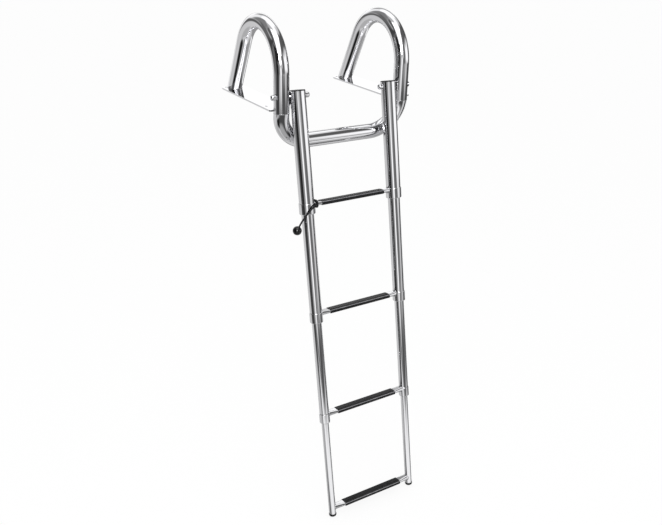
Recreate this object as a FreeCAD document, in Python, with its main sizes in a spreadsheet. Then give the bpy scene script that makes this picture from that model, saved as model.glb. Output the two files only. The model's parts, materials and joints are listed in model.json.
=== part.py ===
"""Telescopic swim ladder with two deck handles, four sections and four rungs.

Millimetres. +Z is up, +Y points from the water to the deck, +X to the right as seen from the water.
The origin is the centre of the left deck plate's four screw holes, on the underside of that plate.
Inside this file, lengths run from the middle of the ladder, the hinge line and the plates' underside.
"""
import FreeCAD, Part
import math
import os

import Sketcher

Vector = FreeCAD.Vector
Rotation = FreeCAD.Rotation
Placement = FreeCAD.Placement

doc = FreeCAD.newDocument("swim_ladder")
sheet = doc.addObject("Spreadsheet::Sheet", "sizes")


class Size:
    """A length with its value in millimetres and the expression that gives it."""

    def __init__(self, value, text):
        self.value = float(value)
        self.text = text

    def __add__(self, other):
        return combine(self, "+", other, self.value + number(other))

    def __radd__(self, other):
        return combine(other, "+", self, number(other) + self.value)

    def __sub__(self, other):
        return combine(self, "-", other, self.value - number(other))

    def __rsub__(self, other):
        return combine(other, "-", self, number(other) - self.value)

    def __mul__(self, other):
        return combine(self, "*", other, self.value * number(other))

    def __rmul__(self, other):
        return combine(other, "*", self, number(other) * self.value)

    def __truediv__(self, other):
        return combine(self, "/", other, self.value / number(other))

    def __neg__(self):
        return combine(0, "-", self, -self.value)


def number(size):
    """The plain value of a Size or of a number."""
    return size.value if isinstance(size, Size) else float(size)


def words(size):
    """The expression text of a Size or of a number."""
    return size.text if isinstance(size, Size) else repr(float(size))


def combine(left, sign, right, value):
    """A Size from two others and the sign between them."""
    return Size(value, f"({words(left)} {sign} {words(right)})")


row = 0


def cell(alias, value, note):
    """Writes one named size to the sheet and returns it."""
    global row
    row += 1
    sheet.set(f"A{row}", note)
    sheet.set(f"B{row}", f"{value:.6f}")
    sheet.setAlias(f"B{row}", alias)
    return Size(round(value, 6), f"sizes.{alias}")


# Driving sizes of the frame
rail_spacing = cell("rail_spacing", 261.0, "between the axes of the two rails")
tube_diameter = cell("tube_diameter", 38.0, "handles, crossbar and outer rails")
tube_wall = cell("tube_wall", 1.5, "wall of the handle tubes")
rail_wall = cell("rail_wall", 1.2, "wall of the rail tubes")
second_diameter = cell("second_diameter", 31.6, "second pair of tubes")
third_diameter = cell("third_diameter", 25.6, "third pair of tubes")
fourth_diameter = cell("fourth_diameter", 19.4, "fourth pair of tubes")
rail_lean = 10.5

# Driving sizes of the sections
cap_rise = cell("cap_rise", 13.0, "rail top above the hinge line")
first_rung_drop = cell("first_rung_drop", 265.8, "first rung below the hinge line")
rung_pitch = cell("rung_pitch", 287.0, "between rungs when pulled out")
guide_above = cell("guide_above", 28.3, "top of an inner tube above the rung of the tube it slides in")
slide_gap = cell("slide_gap", 0.08, "radial running clearance of the slides")
stop_gap = cell("stop_gap", 0.5, "between a pulled-out guide and the collar's ledge")
guide_taper = cell("guide_taper", 4.0, "cone below the guide")

# Driving sizes of the collars
collar_wall = cell("collar_wall", 1.4, "collar over its own tube")
collar_above = cell("collar_above", 4.3, "collar top above the rung axis")
collar_below = cell("collar_below", 22.2, "collar bottom below the rung axis")
ledge_below = cell("ledge_below", 14.7, "seat of the tube end below the rung axis")
rim_round = cell("rim_round", 0.6, "rounded upper rim of the collar")
lip_round = cell("lip_round", 1.2, "bevel at the collar's lower lip")

# Driving sizes of the rungs
tread_length = cell("tread_length", 186.0, "black tread")
tread_depth = cell("tread_depth", 26.6, "front to back")
tread_height = cell("tread_height", 11.8, "top to bottom")
tread_nose = cell("tread_nose", 5.0, "radius of the tread's long edges")
groove_width = cell("groove_width", 1.6, "grooves along the tread")
groove_depth = cell("groove_depth", 0.7, "grooves along the tread")
groove_pitch = cell("groove_pitch", 4.5, "grooves along the tread")
groove_count = 4
core_depth = cell("core_depth", 23.0, "flattened rung tube, front to back")
core_height = cell("core_height", 8.8, "flattened rung tube, top to bottom")
core_round = cell("core_round", 4.2, "radius of the flattened tube's edges")
neck_depth = cell("neck_depth", 17.0, "round end of the rung, front to back")
neck_height = cell("neck_height", 16.0, "round end of the rung, top to bottom")
neck_round = cell("neck_round", 7.5, "radius of the round end's corners")
rung_wall = cell("rung_wall", 1.2, "wall of the rung tube")

# Driving sizes of the feet and caps
foot_drop = cell("foot_drop", 17.7, "end of the lowest tubes below the fourth rung")
foot_height = cell("foot_height", 8.0, "black foot below the tube end")
foot_lip = cell("foot_lip", 0.8, "foot beyond the tube's radius")
foot_round = cell("foot_round", 5.0, "dome of the foot")
plug_length = cell("plug_length", 12.0, "foot plug inside the tube")
cap_height = cell("cap_height", 2.4, "cap over the rail end")
cap_plug = cell("cap_plug", 5.0, "cap plug inside the rail")
cap_round = cell("cap_round", 0.8, "rounded rim of the cap")

# Driving sizes of the handles and plates
leg_set_back = cell("leg_set_back", 4.5, "front legs behind the hinge line")
arch_radius = cell("arch_radius", 107.0, "centre line of the handle's arch")
arch_height = cell("arch_height", 84.6, "centre of the arch above the plates' underside")
rear_lean = 28.0
plate_thickness = cell("plate_thickness", 4.0, "deck plate")
plate_width = cell("plate_width", 62.0, "deck plate")
plate_beyond = cell("plate_beyond", 24.46, "plate behind the rear leg's axis")
plate_corner = cell("plate_corner", 14.0, "radius of the plate's rear corners")
plate_nose = cell("plate_nose", 5.0, "radius of the plate's front corners")
plate_cut_width = cell("plate_cut_width", 12.0, "inner front corner cut, across")
plate_cut_length = cell("plate_cut_length", 30.0, "inner front corner cut, along")
screw_hole = cell("screw_hole", 6.5, "deck screw hole")
screw_inset = cell("screw_inset", 11.0, "screw hole from the plate's edges")
hinge_height = cell("hinge_height", 33.0, "hinge line above the plates' underside")
seam_height = cell("seam_height", -6.0, "seam between handle and crossbar tube")
bar_height = cell("bar_height", -85.0, "crossbar axis")
elbow_radius = cell("elbow_radius", 78.0, "centre line of the elbows")
rest_gap = cell("rest_gap", 5.3, "between the resting rails and the bar; its elbows come to 0.5 mm")

# Driving sizes of the hinge
bolt_diameter = cell("bolt_diameter", 8.0, "hinge bolt shank")
bolt_gap = cell("bolt_gap", 0.06, "radial clearance of the bolt")
bolt_head = cell("bolt_head", 14.0, "diameter of the bolt's head and nut")
nut_height = cell("nut_height", 11.5, "cap nuts inside the rails and the left bolt's head")
low_head = cell("low_head", 1.4, "flat head outside the right handle")
ear_thickness = cell("ear_thickness", 3.0, "ear between leg and rail")
ear_gap = cell("ear_gap", 0.4, "between ear and rail")
ear_reach = cell("ear_reach", 12.0, "ear around the hinge line")
ear_toe = cell("ear_toe", 8.0, "front of the ear's foot behind the front legs")
ear_foot = cell("ear_foot", 26.0, "rear of the ear's foot behind the front legs")
ear_round = cell("ear_round", 8.0, "rounded corners of the ear")
nut_round = cell("nut_round", 5.0, "domed edge of the nuts")
low_round = cell("low_round", 0.9, "rounded edge of the flat head")

# Driving sizes of the retaining cord
cord_diameter = cell("cord_diameter", 4.4, "cord and its loop")
ball_diameter = cell("ball_diameter", 22.6, "ball at the cord's end")
loop_from_tread = cell("loop_from_tread", 14.0, "loop beyond the tread's end")
loop_depth = cell("loop_depth", 25.5, "loop's centre line, front to back")
loop_height = cell("loop_height", 16.4, "loop's centre line, top to bottom")
loop_round = cell("loop_round", 6.0, "corners of the loop's centre line")

# Places that follow from the driving sizes
rail_x = rail_spacing / 2
tube_radius = tube_diameter / 2
leg_x = rail_x + tube_radius + ear_gap + ear_thickness + tube_radius
tube_radii = [tube_radius, second_diameter / 2, third_diameter / 2, fourth_diameter / 2]
rung_drops = [first_rung_drop + rung_pitch * step for step in range(4)]
lean = math.radians(rail_lean)
bar_clear = number(tube_diameter) + number(rest_gap)
bar_drop = number(hinge_height) - number(bar_height)
bar_y = (bar_clear - bar_drop * math.sin(lean)) / math.cos(lean)
bar_offset = bar_y - number(leg_set_back)
bar_fall = number(seam_height) - number(bar_height)
crossbar_kink = math.degrees(math.atan2(bar_offset, bar_fall))
crossbar_drop = cell("crossbar_drop", math.hypot(bar_offset, bar_fall), "crossbar below the seam, along its plane")
slope = math.radians(rear_lean)
arch_meet = arch_height + arch_radius / math.tan(slope / 2)
rear_foot = leg_set_back + (arch_meet - plate_thickness) * math.tan(slope)
plate_end = rear_foot + plate_beyond

front_holes = leg_set_back + plate_cut_length + screw_inset
rear_holes = plate_end - screw_inset
origin = Vector(-number(leg_x), number(front_holes + rear_holes) / 2, 0)

nodes = {}


def finish(item, name):
    """Gives a finished object its node name."""
    item.Label = name
    nodes[name] = item
    return item


def new_body(name):
    """A body with its label set to the node's name."""
    return finish(doc.addObject("PartDesign::Body", f"body_{name}"), name)


def base_plane(body, role):
    """The origin plane of a body."""
    return next(item for item in body.Origin.OriginFeatures if item.Role == role)


def new_sketch(body, role, offset=None):
    """A sketch on one of a body's origin planes, lifted by offset along the plane's normal."""
    sketch = body.newObject("Sketcher::SketchObject", f"{body.Name}_sketch")
    sketch.AttachmentSupport = [(base_plane(body, role), "")]
    sketch.MapMode = "FlatFace"
    if offset is not None:
        sketch.AttachmentOffset = Placement(Vector(0, 0, number(offset)), Rotation())
        sketch.setExpression("AttachmentOffset.Base.z", words(offset))
    return sketch


def pin(sketch, element, place, point):
    """Ties one point of a sketch to its place by two sizes from the origin."""
    for kind, size in (("DistanceX", point[0]), ("DistanceY", point[1])):
        index = sketch.addConstraint(Sketcher.Constraint(kind, -1, 1, element, place, number(size)))
        if isinstance(size, Size):
            sketch.setExpression(f"Constraints[{index}]", words(size))


def tangent_points(before, corner, after, radius):
    """Start, middle and end of the arc that rounds a corner."""
    inward = (before - corner).normalize()
    outward = (after - corner).normalize()
    half = inward.getAngle(outward) / 2
    reach = radius / math.tan(half)
    bisector = (inward + outward).normalize()
    middle = corner + bisector * (radius / math.sin(half) - radius)
    return corner + inward * reach, middle, corner + outward * reach


def outline(sketch, corners, closed=True):
    """Draws a path of lines with rounded corners.

    Each corner is (across, along) or (across, along, radius), in Sizes or numbers.
    """
    spots = [Vector(number(c[0]), number(c[1]), 0) for c in corners]
    count = len(corners)
    arcs = {}
    for index, corner in enumerate(corners):
        inner = closed or 0 < index < count - 1
        if inner and len(corner) > 2 and number(corner[2]) > 0:
            arcs[index] = tangent_points(spots[index - 1], spots[index], spots[(index + 1) % count],
                                         number(corner[2]))
    lines = []
    for index in range(count if closed else count - 1):
        follower = (index + 1) % count
        start = arcs[index][2] if index in arcs else spots[index]
        end = arcs[follower][0] if follower in arcs else spots[follower]
        lines.append(sketch.addGeometry(Part.LineSegment(start, end), False))
    for index, corner in enumerate(corners):
        before = lines[index - 1] if closed or index > 0 else None
        after = lines[index] if index < len(lines) else None
        if index in arcs:
            start, middle, end = arcs[index]
            arc = sketch.addGeometry(Part.Arc(start, middle, end), False)
            turned = (spots[index] - spots[index - 1]).cross(
                spots[(index + 1) % count] - spots[index]).z > 0
            first, last = (1, 2) if turned else (2, 1)
            sketch.addConstraint(Sketcher.Constraint("Tangent", before, 2, arc, first))
            sketch.addConstraint(Sketcher.Constraint("Tangent", arc, last, after, 1))
            bend = sketch.addConstraint(Sketcher.Constraint("Radius", arc, number(corner[2])))
            if isinstance(corner[2], Size):
                sketch.setExpression(f"Constraints[{bend}]", words(corner[2]))
            point = sketch.addGeometry(Part.Point(spots[index]), True)
            sketch.addConstraint(Sketcher.Constraint("PointOnObject", point, 1, before))
            sketch.addConstraint(Sketcher.Constraint("PointOnObject", point, 1, after))
            pin(sketch, point, 1, corner)
        elif before is None:
            pin(sketch, after, 1, corner)
        elif after is None:
            pin(sketch, before, 2, corner)
        else:
            sketch.addConstraint(Sketcher.Constraint("Coincident", before, 2, after, 1))
            pin(sketch, after, 1, corner)
    return sketch


def circle(sketch, across, along, radius):
    """Draws a circle tied to its centre and radius."""
    centre = Vector(number(across), number(along), 0)
    ring = sketch.addGeometry(Part.Circle(centre, Vector(0, 0, 1), number(radius)), False)
    size = sketch.addConstraint(Sketcher.Constraint("Radius", ring, number(radius)))
    sketch.setExpression(f"Constraints[{size}]", words(radius))
    pin(sketch, ring, 3, (across, along))
    return sketch


def slot(sketch, width, height, radius):
    """Draws a rounded rectangle about the sketch's origin."""
    half_width, half_height = width / 2, height / 2
    corners = [(half_width, -half_height, radius), (half_width, half_height, radius),
               (-half_width, half_height, radius), (-half_width, -half_height, radius)]
    return outline(sketch, corners)


def revolve(body, corners):
    """A ring about the body's Z axis, from (radius, height) corners."""
    sketch = outline(new_sketch(body, "XZ_Plane"), corners)
    turn = body.newObject("PartDesign::Revolution", f"{body.Name}_turn")
    turn.Profile = sketch
    turn.ReferenceAxis = (sketch, ["V_Axis"])
    turn.Angle = 360
    return body


def pad(body, sketch, length, midplane=False):
    """Thickens a sketch by a length."""
    block = body.newObject("PartDesign::Pad", f"{body.Name}_pad")
    block.Profile = sketch
    block.Length = number(length)
    block.setExpression("Length", words(length))
    block.Midplane = midplane
    return block


def drill(body, sketch):
    """Cuts a sketch through everything, both ways."""
    hole = body.newObject("PartDesign::Pocket", f"{body.Name}_drill")
    hole.Profile = sketch
    hole.Type = "ThroughAll"
    hole.Midplane = True
    return hole


def bent_tube(body, start, offset, spine_role, corners):
    """A hollow tube along a rounded path, from its outer and inner circles."""
    for kind, radius in (("AdditivePipe", tube_radius), ("SubtractivePipe", tube_radius - tube_wall)):
        spine = outline(new_sketch(body, spine_role), corners, closed=False)
        ring = circle(new_sketch(body, "XY_Plane", offset), start[0], start[1], radius)
        sweep = body.newObject(f"PartDesign::{kind}", f"{body.Name}_{kind}")
        sweep.Profile = ring
        sweep.Spine = (spine, [])


def place(item, across, along, height, angle=0.0):
    """Puts an object at its place, turned about the X direction."""
    spot = Vector(number(across), number(along), number(height)) - origin
    item.Placement = Placement(spot, Rotation(Vector(1, 0, 0), angle))


def place_on_rails(item, across, drop):
    """Puts an object on the leaning rails, a length below the hinge line."""
    along = -number(drop) * math.sin(lean)
    height = number(hinge_height) - number(drop) * math.cos(lean)
    place(item, across, along, height, -rail_lean)


# Deck plates

def deck_plate(name, side):
    """A flat plate with rounded rear corners, its front end notched for the leg."""
    body = new_body(name)
    half = plate_width / 2
    front = leg_set_back
    corners = [
        (side * half, front, plate_nose),
        (side * half, plate_end, plate_corner),
        (-side * half, plate_end, plate_corner),
        (-side * half, front + plate_cut_length, plate_nose),
        (-side * (half - plate_cut_width), front),
    ]
    pad(body, outline(new_sketch(body, "XY_Plane"), corners), plate_thickness)
    drill(body, circle(new_sketch(body, "XY_Plane"), 0, leg_set_back, tube_radius))
    for across in (-1, 1):
        for along in (front_holes, rear_holes):
            holes = new_sketch(body, "XY_Plane")
            drill(body, circle(holes, across * (half - screw_inset), along, screw_hole / 2))
    place(body, side * leg_x, 0, 0)


# Handles and crossbar

def handle(name, side):
    """An arched grab handle: upright front leg, round arch, rear leg that leans back to the plate."""
    body = new_body(name)
    below = plate_thickness - tube_diameter
    end = rear_foot + tube_diameter * math.tan(slope)
    corners = [(leg_set_back, seam_height), (leg_set_back, arch_meet, arch_radius), (end, below)]
    bent_tube(body, (0, leg_set_back), seam_height, "YZ_Plane", corners)
    trim = new_sketch(body, "XY_Plane", plate_thickness)
    outline(trim, [(tube_diameter, rear_foot - tube_diameter), (tube_diameter, end + tube_diameter),
                   (-tube_diameter, end + tube_diameter), (-tube_diameter, rear_foot - tube_diameter)])
    cut = body.newObject("PartDesign::Pocket", f"{body.Name}_trim")
    cut.Profile = trim
    cut.Length = number(tube_diameter * 2)
    cut.setExpression("Length", words(tube_diameter * 2))
    drill(body, circle(new_sketch(body, "YZ_Plane"), 0, hinge_height, bolt_diameter / 2 + bolt_gap))
    place(body, side * leg_x, 0, 0)


def crossbar(name):
    """The bent tube below the plates: stub, elbow, bar, elbow and stub in one leaning plane."""
    body = doc.addObject("PartDesign::Body", "crossbar_bend")
    corners = [(-leg_x, tube_radius), (-leg_x, -crossbar_drop, elbow_radius),
               (leg_x, -crossbar_drop, elbow_radius), (leg_x, tube_radius)]
    bent_tube(body, (-leg_x, 0), tube_radius, "XZ_Plane", corners)
    place(body, 0, leg_set_back, seam_height, crossbar_kink)
    trim = doc.addObject("Part::Box", "crossbar_trim")
    trim.Length = number(leg_x * 4)
    trim.Width = number(leg_x)
    trim.Height = number(tube_diameter * 2)
    trim.setExpression("Length", words(leg_x * 4))
    trim.setExpression("Width", words(leg_x))
    trim.setExpression("Height", words(tube_diameter * 2))
    place(trim, leg_x * -2, leg_x / -2, seam_height)
    cut = doc.addObject("Part::Cut", "crossbar_cut")
    cut.Base = body
    cut.Tool = trim
    finish(cut, name)


# Hinge

def hinge_ear(name, side):
    """A flat ear on the plate beside the leg, with the hinge bolt's hole and a sloped back edge."""
    body = new_body(name)
    top = hinge_height + ear_reach
    corners = [
        (leg_set_back + ear_toe, plate_thickness),
        (leg_set_back + ear_foot, plate_thickness),
        (leg_set_back + ear_foot, plate_thickness + ear_reach),
        (ear_reach / 2, top, ear_round),
        (-ear_reach, top, ear_round),
        (-ear_reach, hinge_height - ear_reach, ear_round),
    ]
    pad(body, outline(new_sketch(body, "YZ_Plane"), corners), ear_thickness)
    drill(body, circle(new_sketch(body, "YZ_Plane"), 0, hinge_height, bolt_diameter / 2 + bolt_gap))
    inner = leg_x - tube_radius
    place(body, side * inner if side < 0 else inner - ear_thickness, 0, 0)


def hinge_bolt(name, side, head_height, head_round):
    """A bolt through leg, ear and rail, with a head outside and a cap nut inside."""
    body = new_body(name)
    outer = tube_radius
    inner = leg_x - rail_x + tube_radius + ear_gap
    head = bolt_head / 2
    shank = bolt_diameter / 2
    corners = [
        (side * (outer + head_height), 0),
        (side * (outer + head_height), head, head_round),
        (side * outer, head),
        (side * outer, shank),
        (-side * inner, shank),
        (-side * inner, head),
        (-side * (inner + nut_height), head, nut_round),
        (-side * (inner + nut_height), 0),
    ]
    sketch = outline(new_sketch(body, "XY_Plane"), corners)
    turn = body.newObject("PartDesign::Revolution", f"{body.Name}_turn")
    turn.Profile = sketch
    turn.ReferenceAxis = (sketch, ["H_Axis"])
    turn.Angle = 360
    place(body, side * leg_x, 0, hinge_height)


# Rails

def rail_tube(name, side, step):
    """One tube of the telescope. An inner tube has a wider guide at its top."""
    body = new_body(name)
    radius = tube_radii[step]
    bore = radius - rail_wall
    low = -(rung_drops[step] + (foot_drop if step == 3 else ledge_below))
    if step == 0:
        top = cap_rise - cap_height
        corners = [(bore, low), (radius, low), (radius, top), (bore, top)]
    else:
        top = guide_above - rung_drops[step - 1]
        stop = stop_gap - rung_drops[step - 1] - ledge_below
        guide = tube_radii[step - 1] - rail_wall - slide_gap
        corners = [
            (bore, low), (radius, low), (radius, stop), (guide, stop + guide_taper), (guide, top),
            (guide - rail_wall, top), (guide - rail_wall, stop + guide_taper), (bore, stop),
        ]
    revolve(body, corners)
    if step == 0:
        drill(body, circle(new_sketch(body, "YZ_Plane"), 0, 0, bolt_diameter / 2 + bolt_gap))
    place_on_rails(body, side * rail_x, 0)


def rail_cap(name, side):
    """A flat cap plugged into the top of an outer rail."""
    body = new_body(name)
    bore = tube_radius - rail_wall
    seat = cap_rise - cap_height
    corners = [(0, seat - cap_plug), (bore, seat - cap_plug), (bore, seat), (tube_radius, seat),
               (tube_radius, cap_rise, cap_round), (0, cap_rise)]
    revolve(body, corners)
    place_on_rails(body, side * rail_x, 0)


def collar(name, side, step):
    """The collar at a tube's lower end, which guides the next tube."""
    body = new_body(name)
    radius = tube_radii[step]
    bore = tube_radii[step + 1] + slide_gap
    rim = radius + collar_wall
    corners = [
        (radius, collar_above), (rim, collar_above, rim_round), (rim, -collar_below, lip_round),
        (bore, -collar_below), (bore, -ledge_below), (radius, -ledge_below),
    ]
    revolve(body, corners)
    place_on_rails(body, side * rail_x, rung_drops[step])


def rung(name, step):
    """A rung tube flattened under its tread, with necks that run out to round ends on the rails."""
    body = new_body(name)
    for kind, wall in (("AdditiveLoft", 0), ("SubtractiveLoft", rung_wall)):
        sections = []
        for side in (-1, 1):
            flat = slot(new_sketch(body, "YZ_Plane", side * (tread_length / 2)),
                        core_depth - 2 * wall, core_height - 2 * wall, core_round - wall)
            end = slot(new_sketch(body, "YZ_Plane", side * rail_x),
                       neck_depth - 2 * wall, neck_height - 2 * wall, neck_round - wall)
            sections += [end, flat] if side < 0 else [flat, end]
        loft = body.newObject(f"PartDesign::{kind}", f"{body.Name}_{kind}")
        loft.Profile = sections[0]
        loft.Sections = sections[1:]
        loft.Ruled = True
    radius = tube_radii[step]
    saddle = new_sketch(body, "XY_Plane")
    circle(saddle, rail_x, 0, radius)
    circle(saddle, -rail_x, 0, radius)
    drill(body, saddle)
    if step < 3:
        seat = new_sketch(body, "XY_Plane", collar_above)
        circle(seat, rail_x, 0, radius + collar_wall)
        circle(seat, -rail_x, 0, radius + collar_wall)
        cut = body.newObject("PartDesign::Pocket", f"{body.Name}_seat")
        cut.Profile = seat
        cut.Type = "ThroughAll"
    place_on_rails(body, 0, rung_drops[step])


def tread(name, step):
    """The black tread: a rounded sleeve over the flattened rung, grooved along its top."""
    body = new_body(name)
    pad(body, slot(new_sketch(body, "YZ_Plane"), tread_depth, tread_height, tread_nose), tread_length, midplane=True)
    drill(body, slot(new_sketch(body, "YZ_Plane"), core_depth, core_height, core_round))
    grooves = new_sketch(body, "YZ_Plane")
    top = tread_height / 2
    for index in range(groove_count):
        middle = groove_pitch * (index - (groove_count - 1) / 2)
        half = groove_width / 2
        outline(grooves, [(middle - half, top - groove_depth), (middle + half, top - groove_depth),
                          (middle + half, top + groove_depth), (middle - half, top + groove_depth)])
    drill(body, grooves)
    place_on_rails(body, 0, rung_drops[step])


def foot(name, side):
    """A domed black foot plugged into the lowest tube."""
    body = new_body(name)
    radius = tube_radii[3]
    bore = radius - rail_wall
    rim = radius + foot_lip
    corners = [(0, -foot_height), (rim, -foot_height, foot_round), (rim, 0), (bore, 0), (bore, plug_length),
               (0, plug_length)]
    revolve(body, corners)
    place_on_rails(body, side * rail_x, rung_drops[3] + foot_drop)


# Retaining cord

def rail_point(across, along, height):
    """A point given across, along and up the leaning rails, from the middle of the hinge line."""
    turned = Rotation(Vector(1, 0, 0), -rail_lean).multVec(Vector(across, along, height))
    return turned + Vector(0, 0, number(hinge_height)) - origin


def cord_loop(name):
    """The cord's loop round the left neck of the first rung."""
    body = new_body(name)
    spine = slot(new_sketch(body, "YZ_Plane"), loop_depth, loop_height, loop_round)
    ring = circle(new_sketch(body, "XY_Plane"), 0, loop_depth / 2, cord_diameter / 2)
    sweep = body.newObject("PartDesign::AdditivePipe", f"{body.Name}_pipe")
    sweep.Profile = ring
    sweep.Spine = (spine, [])
    place_on_rails(body, -(tread_length / 2 + loop_from_tread), first_rung_drop)


def cord_route():
    """The hand-chosen points of the cord, from the loop across the collar to the ball."""
    start = number(tread_length) / 2 + number(loop_from_tread)
    rung_z = -number(first_rung_drop)
    front = -number(loop_depth) / 2
    return [
        rail_point(-start, front, rung_z + 1.0),
        rail_point(-start - 8.5, front - 7.0, rung_z + 1.0),
        rail_point(-start - 18.5, front - 12.0, rung_z - 3.0),
        rail_point(-start - 28.5, front - 13.0, rung_z - 10.0),
        rail_point(-start - 38.0, front - 12.5, rung_z - 18.5),
        rail_point(-start - 46.5, front - 11.5, rung_z - 27.0),
        rail_point(-start - 54.5, front - 10.0, rung_z - 36.0),
        rail_point(-start - 60.5, front - 8.5, rung_z - 45.5),
    ]


def rounded_path(points):
    """A wire of straight runs joined by tangent arcs, with the arcs' radii."""
    edges = []
    radii = []
    last = points[0]
    for before, corner, after in zip(points, points[1:], points[2:]):
        inward = (before - corner).normalize()
        outward = (after - corner).normalize()
        half = inward.getAngle(outward) / 2
        shorter = min((before - corner).Length, (after - corner).Length)
        radius = 0.45 * shorter * math.tan(half)
        start, middle, end = tangent_points(before, corner, after, radius)
        edges.append(Part.LineSegment(last, start).toShape())
        edges.append(Part.Arc(start, middle, end).toShape())
        radii.append(radius)
        last = end
    edges.append(Part.LineSegment(last, points[-1]).toShape())
    return Part.Wire(edges), radii


def retainer_cord(name):
    """The cord as a round tube along its route."""
    points = cord_route()
    path, radii = rounded_path(points)
    section = Part.Wire(Part.makeCircle(number(cord_diameter) / 2, points[0], points[1] - points[0]))
    item = doc.addObject("Part::Feature", name)
    item.Shape = path.makePipeShell([section], True, False)
    finish(item, name)
    area = math.pi * (number(cord_diameter) / 2) ** 2
    print("cord radii", ", ".join(f"{radius:.0f}" for radius in radii))
    print(f"cord volume {item.Shape.Volume:.1f}, section times length {area * path.Length:.1f}")


def retainer_ball(name):
    """The ball at the cord's end, flat where the cord goes in."""
    points = cord_route()
    ray = (points[-2] - points[-1]).normalize()
    radius = number(ball_diameter) / 2
    flat = math.sqrt(radius ** 2 - (number(cord_diameter) / 2) ** 2)
    item = doc.addObject("Part::Sphere", name)
    item.setExpression("Radius", words(ball_diameter / 2))
    item.Angle1 = -90
    item.Angle2 = math.degrees(math.asin(flat / radius))
    item.Placement = Placement(points[-1] - ray * flat, Rotation(Vector(0, 0, 1), ray))
    finish(item, name)


# The whole ladder

SIDES = (("left", -1), ("right", 1))
SECTIONS = ("first", "second", "third", "fourth")
BOLT_HEADS = {"left": (nut_height, nut_round), "right": (low_head, low_round)}

for word, sign in SIDES:
    deck_plate(f"{word}_deck_plate", sign)
    handle(f"{word}_handle", sign)
    hinge_ear(f"{word}_hinge_ear", sign)
    hinge_bolt(f"{word}_hinge_bolt", sign, *BOLT_HEADS[word])
    rail_cap(f"{word}_rail_cap", sign)
    foot(f"{word}_foot", sign)
    for level, section in enumerate(SECTIONS):
        rail_tube(f"{word}_{section}_tube", sign, level)
        if level < 3:
            collar(f"{word}_{section}_collar", sign, level)
crossbar("crossbar")
for level, section in enumerate(SECTIONS):
    rung(f"{section}_rung", level)
    tread(f"{section}_tread", level)
cord_loop("cord_loop")
retainer_cord("retainer_cord")
retainer_ball("retainer_ball")

doc.recompute()
for item in doc.Objects:
    if "Invalid" in item.State or "Error" in item.State:
        raise RuntimeError(f"{item.Name} failed: {item.State}")
for name, item in nodes.items():
    if item.Shape.isNull() or not item.Shape.isValid():
        raise RuntimeError(f"{name} has no valid shape")

os.makedirs("parts", exist_ok=True)
for name, item in nodes.items():
    item.Shape.exportStep(f"parts/{name}.step")
    solids = len(item.Shape.Solids)
    print(f"{name}: {solids} solid, {item.Shape.Volume / 1000:.2f} cm3")
print(f"bar {bar_y:.2f} behind the hinge line, crossbar kink {crossbar_kink:.2f}, plate end {plate_end.value:.2f}")
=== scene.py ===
"""Telescopic swim ladder: looks, cord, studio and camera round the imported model.

Metres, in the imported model's own frame: +Z up, +Y from the water to the deck, +X to the right.
The rails lean, so pieces on them are given in the rails' own coordinates: across from the
ladder's middle, along the tread's depth, and up the rails from the hinge line.
"""
import json
import logging
import math
from collections.abc import Sequence
from dataclasses import dataclass, field
from enum import Enum

import bmesh
import bpy
from mathutils import Matrix, Vector

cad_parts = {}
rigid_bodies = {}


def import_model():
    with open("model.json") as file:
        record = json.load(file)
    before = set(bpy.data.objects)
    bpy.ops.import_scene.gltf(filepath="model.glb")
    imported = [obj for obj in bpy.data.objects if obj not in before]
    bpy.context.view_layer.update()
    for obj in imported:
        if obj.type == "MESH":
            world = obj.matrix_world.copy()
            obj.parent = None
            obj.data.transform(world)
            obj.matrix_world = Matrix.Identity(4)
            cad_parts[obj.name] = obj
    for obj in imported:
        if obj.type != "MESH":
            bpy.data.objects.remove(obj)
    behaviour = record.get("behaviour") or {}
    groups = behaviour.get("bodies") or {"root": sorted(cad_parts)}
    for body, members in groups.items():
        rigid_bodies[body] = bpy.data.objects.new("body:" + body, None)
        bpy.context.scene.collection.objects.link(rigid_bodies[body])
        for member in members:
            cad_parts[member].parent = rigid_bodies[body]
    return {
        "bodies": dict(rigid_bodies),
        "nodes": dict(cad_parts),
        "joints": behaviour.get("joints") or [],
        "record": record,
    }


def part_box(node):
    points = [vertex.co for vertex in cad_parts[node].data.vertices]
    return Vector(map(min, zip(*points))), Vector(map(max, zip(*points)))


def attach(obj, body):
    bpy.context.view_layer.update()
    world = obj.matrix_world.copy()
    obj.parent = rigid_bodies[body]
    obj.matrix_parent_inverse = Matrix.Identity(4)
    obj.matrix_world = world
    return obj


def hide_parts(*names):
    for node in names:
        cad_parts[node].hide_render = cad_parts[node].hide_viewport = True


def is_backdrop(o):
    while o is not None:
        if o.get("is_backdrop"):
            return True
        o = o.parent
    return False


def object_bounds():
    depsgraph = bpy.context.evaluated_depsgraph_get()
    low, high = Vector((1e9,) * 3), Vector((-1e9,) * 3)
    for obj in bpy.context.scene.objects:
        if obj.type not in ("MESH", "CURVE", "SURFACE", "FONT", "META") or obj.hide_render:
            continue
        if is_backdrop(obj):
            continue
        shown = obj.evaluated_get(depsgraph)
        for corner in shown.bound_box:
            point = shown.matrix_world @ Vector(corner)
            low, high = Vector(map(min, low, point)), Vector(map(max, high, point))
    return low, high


log = logging.getLogger("swim_ladder")

MM = 0.001
# a wave texture of scale 1 has one band in this length
WAVE_LENGTH = math.pi / 10
# a weld bead's own faces meet below this angle and stay smooth
BEAD_SMOOTH = math.radians(80)


class Side(Enum):
    """The two sides of the ladder, as seen from the water."""

    LEFT = -1
    RIGHT = 1

    @property
    def word(self) -> str:
        """The side's word in the nodes' names."""
        return self.name.lower()


class Level(Enum):
    """The four sections, from the top, each with the body that it moves with."""

    FIRST = "rail_frame"
    SECOND = "second_section"
    THIRD = "third_section"
    FOURTH = "fourth_section"

    @property
    def word(self) -> str:
        """The section's word in the nodes' names."""
        return self.name.lower()


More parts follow.
